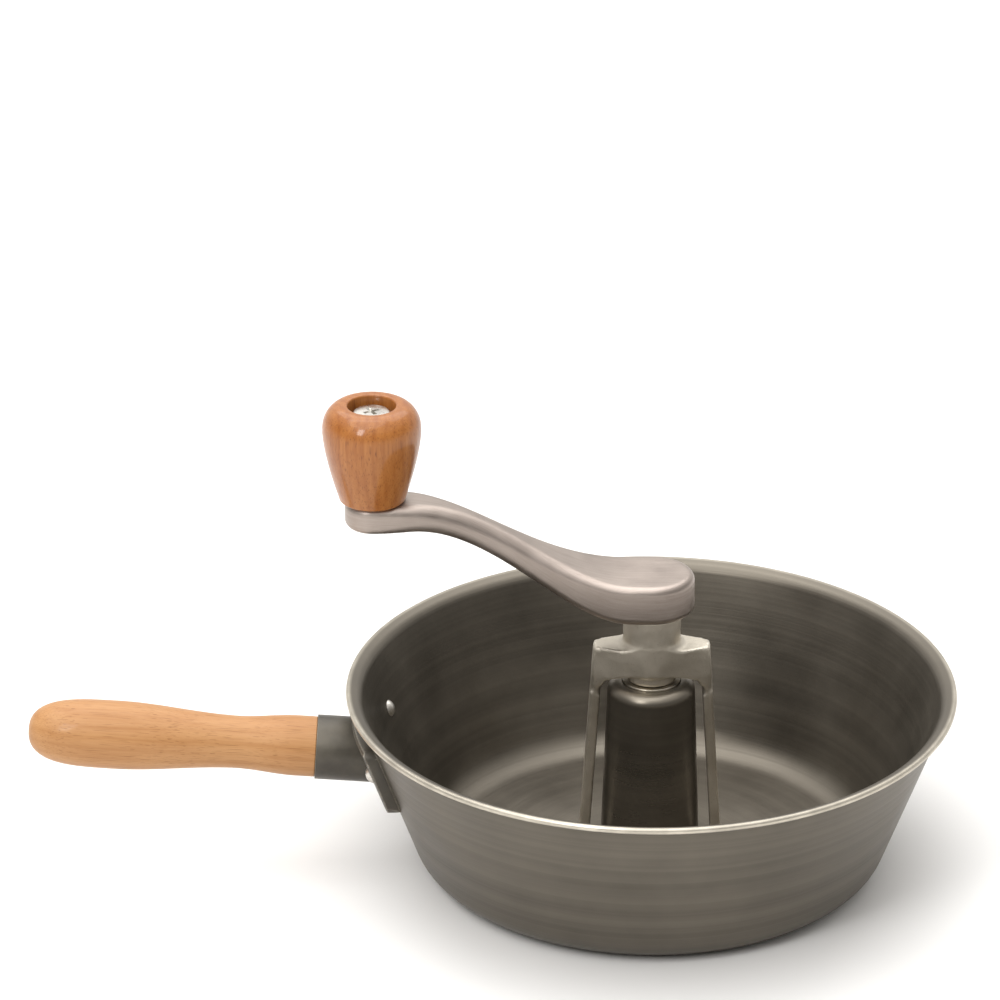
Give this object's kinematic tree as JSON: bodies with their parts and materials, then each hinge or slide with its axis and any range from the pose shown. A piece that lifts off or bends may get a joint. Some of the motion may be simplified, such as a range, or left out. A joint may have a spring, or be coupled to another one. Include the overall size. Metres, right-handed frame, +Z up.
{
  "type": "hand-cranked stirring pan",
  "caption": "Deep flared pan with a centre column, a two-armed stirrer standing on it, and a lift-out S-shaped crank with a turning wooden knob.",
  "frame": {"origin": "middle of the pan's underside, on the drive axis", "axes": "+Z up along the drive axis, the pan's handle and the crank's knob towards -X, seen from the front along +Y"},
  "size_m": [0.3726, 0.2448, 0.1995],
  "materials": {
    "dark_pan": "dark anodised spun sheet, satin",
    "cast_aluminium": "bare, tumbled sand casting",
    "brushed_aluminium": "brushed satin",
    "worn_steel": "sawn, dull",
    "drawn_steel": "drawn, satin",
    "zinc_steel": "zinc plated",
    "rivet_aluminium": "bare",
    "bronze": "oiled sintered bronze",
    "black_casting": "dark satin enamel",
    "handle_beech": "oiled beech, satin",
    "knob_beech": "stained beech under gloss varnish"
  },
  "bodies": {
    "pan": {"pan_bowl": "dark_pan", "column": "dark_pan", "column_screws": "zinc_steel", "bearing_bush": "bronze", "handle_bracket": "black_casting", "bracket_rivets": "rivet_aluminium", "handle_ferrule": "black_casting", "handle_stud": "zinc_steel", "wooden_grip": "handle_beech"},
    "thrust_disc": {"thrust_disc": "cast_aluminium"},
    "stirrer": {"stirrer": "cast_aluminium"},
    "crank": {"crank_arm": "brushed_aluminium", "drive_collar": "worn_steel", "drive_shaft": "drawn_steel", "detent_spring": "zinc_steel", "knob_sleeve": "zinc_steel", "knob_washer": "zinc_steel", "knob_screw": "zinc_steel"},
    "detent": {"detent_ball": "worn_steel"},
    "knob": {"wooden_knob": "knob_beech"}
  },
  "joints": [
    {"name": "stirrer_turn", "type": "hinge", "parent": "pan", "child": "thrust_disc", "pos_m": [0, 0, 0.08], "axis": [0, 0, 1], "continuous": true},
    {"name": "stirrer_lift", "type": "slide", "parent": "thrust_disc", "child": "stirrer", "axis": [0, 0, 1], "range_m": [0, 0.067]},
    {"name": "crank_lift", "type": "slide", "parent": "stirrer", "child": "crank", "axis": [0, 0, 1], "range_m": [0, 0.0815]},
    {"name": "detent_push", "type": "slide", "parent": "crank", "child": "detent", "axis": [0.9063, 0.4226, 0], "range_m": [0, 0.0006], "stiffness_N_per_m": 300, "springref_m": -0.001, "deforming": ["detent_spring"]},
    {"name": "knob_turn", "type": "hinge", "parent": "crank", "child": "knob", "pos_m": [-0.111, 0, 0.16], "axis": [0, 0, 1], "continuous": true}
  ]
}
